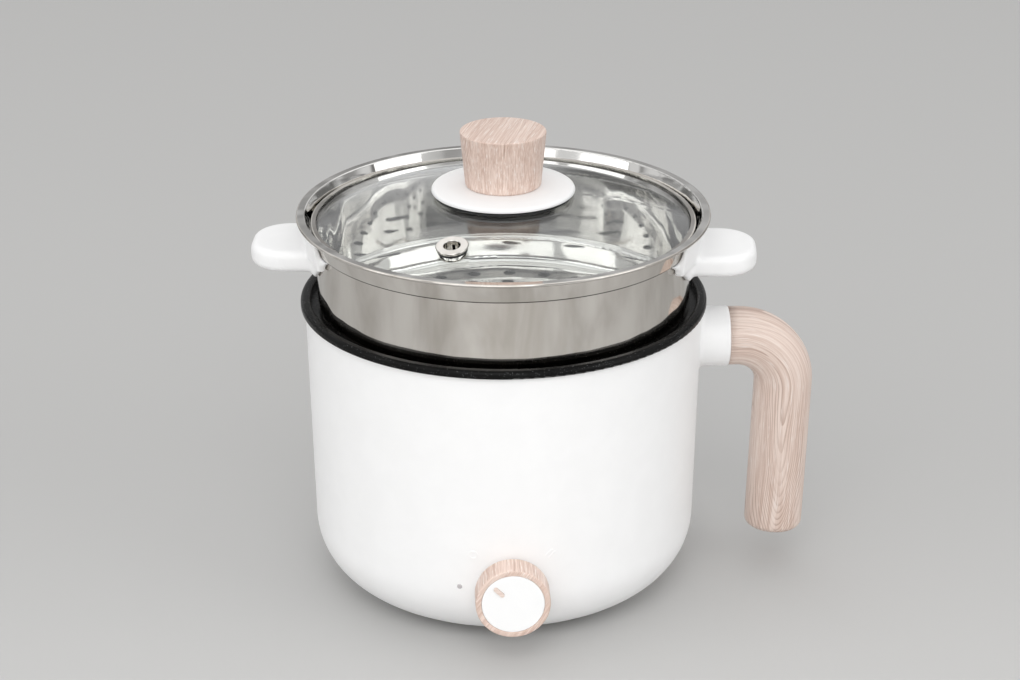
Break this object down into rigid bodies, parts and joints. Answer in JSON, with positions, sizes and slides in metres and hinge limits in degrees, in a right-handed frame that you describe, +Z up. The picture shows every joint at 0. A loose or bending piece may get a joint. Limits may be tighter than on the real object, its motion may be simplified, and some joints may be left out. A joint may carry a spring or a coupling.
{
  "type": "electric hot pot with steamer basket and glass lid",
  "caption": "Electric hot pot with a side handle, a front control knob, a lift-out steamer basket with ears and a lift-off glass lid with a vent and a knob.",
  "frame": {"origin": "centre of the foot ring's ground face, on the pot's axis", "axes": "+Z up along the pot's axis, +X from the pot's axis towards the handle, -Y from the pot's axis towards the control knob"},
  "size_m": [0.2786, 0.2114, 0.2333],
  "materials": {
    "white_plastic": "fine matte, off-white",
    "wood_look": "printed pale wood grain under a satin coat",
    "white_control_plastic": "smooth satin white",
    "nonstick_black": "satin black non-stick coat with fine sparkle",
    "polished_steel": "polished stainless steel",
    "lid_glass": "clear tempered glass",
    "black_silicone": "soft matte",
    "grey_silicone": "soft matte",
    "bare_aluminium": "cast and machined",
    "element_steel": "annealed tube",
    "zinc_steel": "zinc plated",
    "brass": "machined",
    "black_plastic": "moulded, semi-gloss",
    "dark_plastic": "phenolic, matte",
    "lamp_red": "translucent red",
    "brown_insulation": "wire insulation",
    "blue_insulation": "wire insulation",
    "green_insulation": "wire insulation"
  },
  "bodies": {
    "base": {"outer_shell": "white_plastic", "rim_gasket": "grey_silicone", "inner_pot": "nonstick_black", "handle_grip": "wood_look", "handle_core": "dark_plastic", "handle_screw": "zinc_steel", "rotary_switch": "dark_plastic", "switch_nut": "zinc_steel", "switch_tabs": "brass", "indicator_lens": "lamp_red", "indicator_lamp": "dark_plastic", "lamp_leads": "brown_insulation", "power_inlet": "black_plastic", "inlet_blades": "brass", "inlet_clip": "zinc_steel", "heating_plate": "bare_aluminium", "heating_element": "element_steel", "element_tabs": "brass", "thermostat": "dark_plastic", "thermostat_tabs": "brass", "thermostat_strap": "zinc_steel", "thermostat_screws": "zinc_steel", "thermal_fuse": "bare_aluminium", "fuse_clip": "zinc_steel", "earth_screw": "zinc_steel", "upper_standoffs": "zinc_steel", "lower_standoffs": "zinc_steel", "heat_shield": "bare_aluminium", "base_cover": "white_plastic", "cover_screws": "zinc_steel", "foot_ring": "grey_silicone", "live_wire": "brown_insulation", "switched_wire": "brown_insulation", "fuse_wire": "brown_insulation", "return_wire": "blue_insulation", "neutral_wire": "blue_insulation", "earth_wire": "green_insulation"},
    "control": {"control_ring": "wood_look", "control_face": "white_control_plastic", "pointer_bar": "wood_look", "switch_shaft": "zinc_steel"},
    "steamer": {"steamer_basket": "polished_steel", "ear_right": "white_plastic", "ear_left": "white_plastic", "ear_brackets": "polished_steel", "ear_rivets": "polished_steel", "ear_screws": "zinc_steel"},
    "lid": {"lid_band": "polished_steel", "lid_seal": "black_silicone", "lid_glass": "lid_glass", "vent_gasket": "black_silicone", "vent_eyelet": "polished_steel", "disc_gasket": "black_silicone", "knob_disc": "white_plastic", "lid_knob": "wood_look", "knob_insert": "brass", "under_gasket": "black_silicone", "knob_washer": "polished_steel", "knob_screw": "polished_steel"}
  },
  "joints": [
    {"name": "control_turn", "type": "hinge", "parent": "base", "child": "control", "pos_m": [0, -0.0995, 0.035], "axis": [0, 1, 0], "range_deg": [0, 90]},
    {"name": "steamer_lift", "type": "slide", "parent": "base", "child": "steamer", "axis": [0, 0, 1], "range_m": [0, 0.07]},
    {"name": "lid_lift", "type": "slide", "parent": "steamer", "child": "lid", "axis": [0, 0, 1], "range_m": [0, 0.06]}
  ]
}
